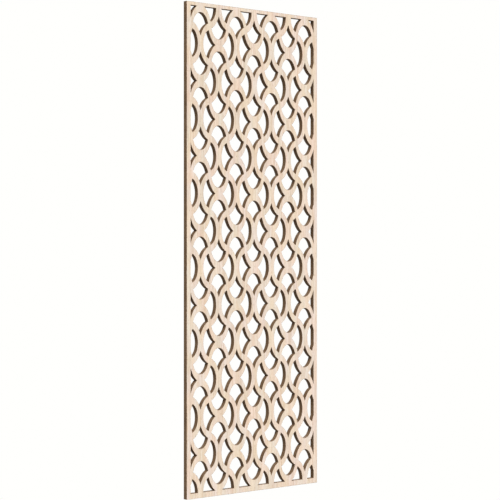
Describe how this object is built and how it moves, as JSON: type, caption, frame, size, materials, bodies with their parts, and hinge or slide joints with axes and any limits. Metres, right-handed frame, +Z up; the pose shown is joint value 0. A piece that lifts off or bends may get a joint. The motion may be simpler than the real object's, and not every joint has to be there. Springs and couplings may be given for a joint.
{
  "type": "fretwork grille panel",
  "caption": "Tall thin wooden panel cut right through in a lattice of interlocking half rings, with a narrow plain border, to hang or fix as a grille, screen or applique.",
  "frame": {"origin": "back of the top rail at mid width and at half the rail's height, where the panel is fixed to what carries it", "axes": "+Z up along the panel's height, +X along its width to the viewer's right, -Y out of its face towards the viewer, +Y out of its back"},
  "size_m": [0.2126, 0.006, 0.6001],
  "materials": {
    "birch_plywood": "bare sanded birch face veneer, with cut edges scorched dark brown"
  },
  "bodies": {
    "root": {"fretwork_panel": "birch_plywood"}
  },
  "joints": []
}
